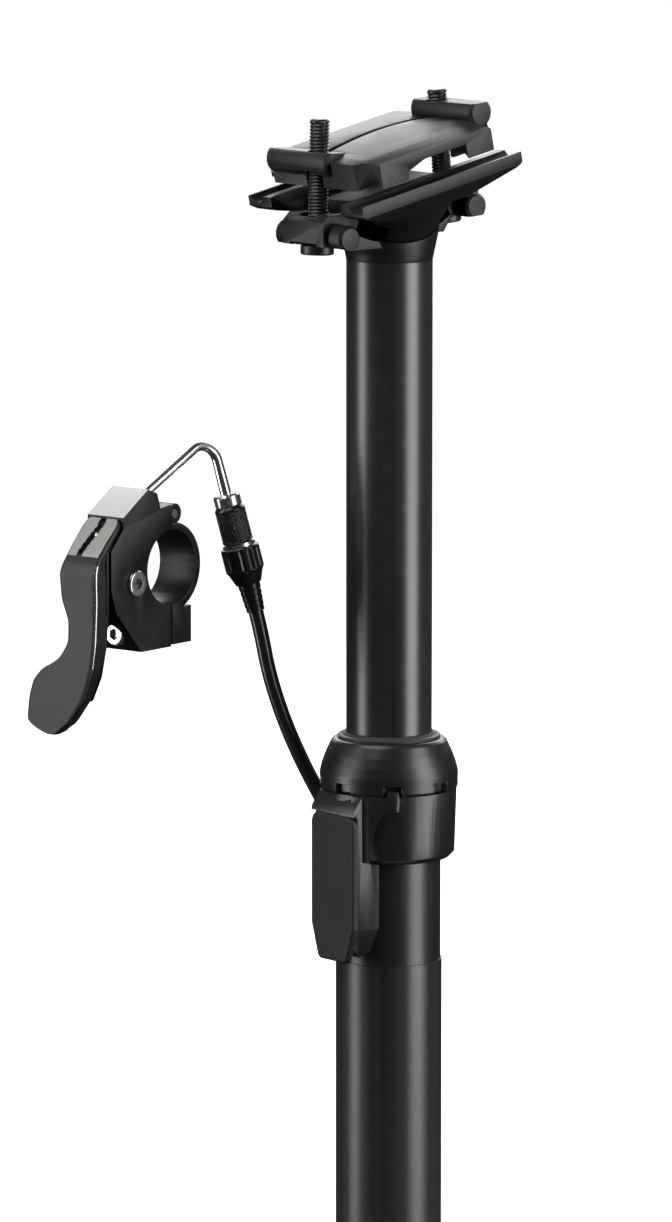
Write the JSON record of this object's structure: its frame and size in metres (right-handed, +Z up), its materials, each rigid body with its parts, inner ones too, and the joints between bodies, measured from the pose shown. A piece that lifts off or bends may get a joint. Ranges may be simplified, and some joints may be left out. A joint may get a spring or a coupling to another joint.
{
  "type": "dropper seatpost",
  "caption": "Telescoping bicycle seatpost with a sliding tube, collar, two-bolt saddle clamp and a cable-linked handlebar thumb lever.",
  "frame": {"origin": "centre of the outer tube's lower end", "axes": "+Z up the post towards the saddle, -X to the front of the bicycle, -Y to its left side"},
  "size_m": [0.1253, 0.0782, 0.4417],
  "materials": {
    "mast_black": "satin black anodised tube",
    "stanchion_black": "smooth hard-anodised black",
    "collar_black": "satin black anodised, machined",
    "cover_black": "matte black moulded plastic",
    "bearing_polymer": "dark grey bearing polymer",
    "seal_rubber": "black wiper rubber",
    "foam_grey": "oil-soaked grey foam",
    "cartridge_silver": "bright turned aluminium",
    "key_brass": "plain brass",
    "head_black": "satin black anodised forging",
    "plate_grey": "satin grey anodised forging",
    "steel": "bright machined steel",
    "black_steel": "black oxide steel",
    "bracket_silver": "bead-blasted grey aluminium",
    "lever_black": "satin anodised with bright edges",
    "noodle_chrome": "polished tube",
    "cable_black": "smooth black cable sleeve"
  },
  "bodies": {
    "frame": {"mast": "mast_black", "mast_end_plug": "mast_black", "cartridge_shaft": "steel", "shaft_nut": "steel", "release_pivot_pin": "steel", "transfer_cable": "steel", "collar_housing": "collar_black", "collar_cap": "collar_black", "foam_ring": "foam_grey", "wiper_seal": "seal_rubber", "upper_bushing": "bearing_polymer", "actuator_cover": "cover_black", "actuator_pivot_pin": "steel", "lever_bracket": "bracket_silver", "clamp_strap": "bracket_silver", "strap_hinge_pin": "steel", "lever_pivot_bolt": "steel", "clamp_screw": "steel", "noodle": "noodle_chrome", "adjuster_sleeve": "noodle_chrome", "adjuster_ring": "noodle_chrome", "lock_nut": "lever_black", "cable_ferrule": "lever_black", "cable_housing": "cable_black"},
    "stanchion": {"stanchion": "stanchion_black", "post_head": "head_black", "cartridge_body": "cartridge_silver", "cartridge_gland": "cartridge_silver", "cartridge_top_nut": "cartridge_silver", "stanchion_foot": "stanchion_black", "lower_bushing": "bearing_polymer", "guide_keys": "key_brass"},
    "saddle_clamp": {"lower_cradle": "head_black", "left_rail_plate": "plate_grey", "right_rail_plate": "plate_grey"},
    "front_bolt": {"front_clamp_bolt": "black_steel", "front_barrel_washer": "head_black"},
    "rear_bolt": {"rear_clamp_bolt": "black_steel", "rear_barrel_washer": "head_black"},
    "front_nut": {"front_barrel_nut": "plate_grey"},
    "rear_nut": {"rear_barrel_nut": "plate_grey"},
    "lever": {"remote_lever": "lever_black", "cable_nipple": "steel"},
    "actuator_lever": {"actuator_lever": "steel"},
    "release_lever": {"release_lever": "steel"},
    "release_pin": {"release_pin": "steel"},
    "barrel_adjuster": {"barrel_adjuster": "lever_black"}
  },
  "joints": [
    {"name": "post_travel", "type": "slide", "parent": "frame", "child": "stanchion", "axis": [0, 0, 1], "range_m": [-0.135, 0], "stiffness_N_per_m": 250, "springref_m": 0.06},
    {"name": "saddle_tilt", "type": "hinge", "parent": "stanchion", "child": "saddle_clamp", "pos_m": [-0.0055, 0, 0.4343], "axis": [0, 1, 0], "range_deg": [-3, 16]},
    {"name": "front_bolt_lean", "type": "hinge", "parent": "stanchion", "child": "front_bolt", "pos_m": [-0.0275, 0, 0.4009], "axis": [0, 1, 0], "range_deg": [-5.87, 1.1]},
    {"name": "rear_bolt_lean", "type": "hinge", "parent": "stanchion", "child": "rear_bolt", "pos_m": [0.021, 0, 0.4076], "axis": [0, 1, 0], "range_deg": [-2.51, 0.47]},
    {"name": "front_nut_swivel", "type": "hinge", "parent": "saddle_clamp", "child": "front_nut", "pos_m": [-0.02694, 0, 0.42249], "axis": [0, 1, 0], "range_deg": [-21.87, 4.1]},
    {"name": "rear_nut_swivel", "type": "hinge", "parent": "saddle_clamp", "child": "rear_nut", "pos_m": [0.01866, 0, 0.4355], "axis": [0, 1, 0], "range_deg": [-18.51, 3.47]},
    {"name": "remote_lever_press", "type": "hinge", "parent": "frame", "child": "lever", "pos_m": [-0.07405, 0.03503, 0.2998], "axis": [0.2079, -0.9781, 0], "range_deg": [0, 14], "stiffness_Nm_per_rad": 0.4, "springref_deg": -17.19},
    {"name": "actuator_lever_turn", "type": "hinge", "parent": "frame", "child": "actuator_lever", "pos_m": [-0.0185, -0.0035, 0.214], "axis": [1, 0, 0], "range_deg": [0, 22]},
    {"name": "release_lever_lift", "type": "hinge", "parent": "frame", "child": "release_lever", "pos_m": [0.0065, 0, 0.005], "axis": [0, 1, 0], "range_deg": [0, 4.8]},
    {"name": "release_pin_lift", "type": "slide", "parent": "frame", "child": "release_pin", "axis": [0, 0, 1], "range_m": [0, 0.00068]},
    {"name": "barrel_adjuster_turn", "type": "hinge", "parent": "frame", "child": "barrel_adjuster", "pos_m": [-0.03026, 0.03846, 0.32], "axis": [0.187, -0.157, -0.9697], "continuous": true}
  ],
  "couplings": [
    {"joint": "front_bolt_lean", "follows": "saddle_tilt", "ratio": -0.367},
    {"joint": "rear_bolt_lean", "follows": "saddle_tilt", "ratio": -0.157},
    {"joint": "front_nut_swivel", "follows": "saddle_tilt", "ratio": -1.367},
    {"joint": "rear_nut_swivel", "follows": "saddle_tilt", "ratio": -1.157},
    {"joint": "actuator_lever_turn", "follows": "remote_lever_press", "ratio": 1.5714},
    {"joint": "release_lever_lift", "follows": "remote_lever_press", "ratio": 0.3429},
    {"joint": "release_pin_lift", "follows": "remote_lever_press", "m_per_rad": 0.00278}
  ]
}
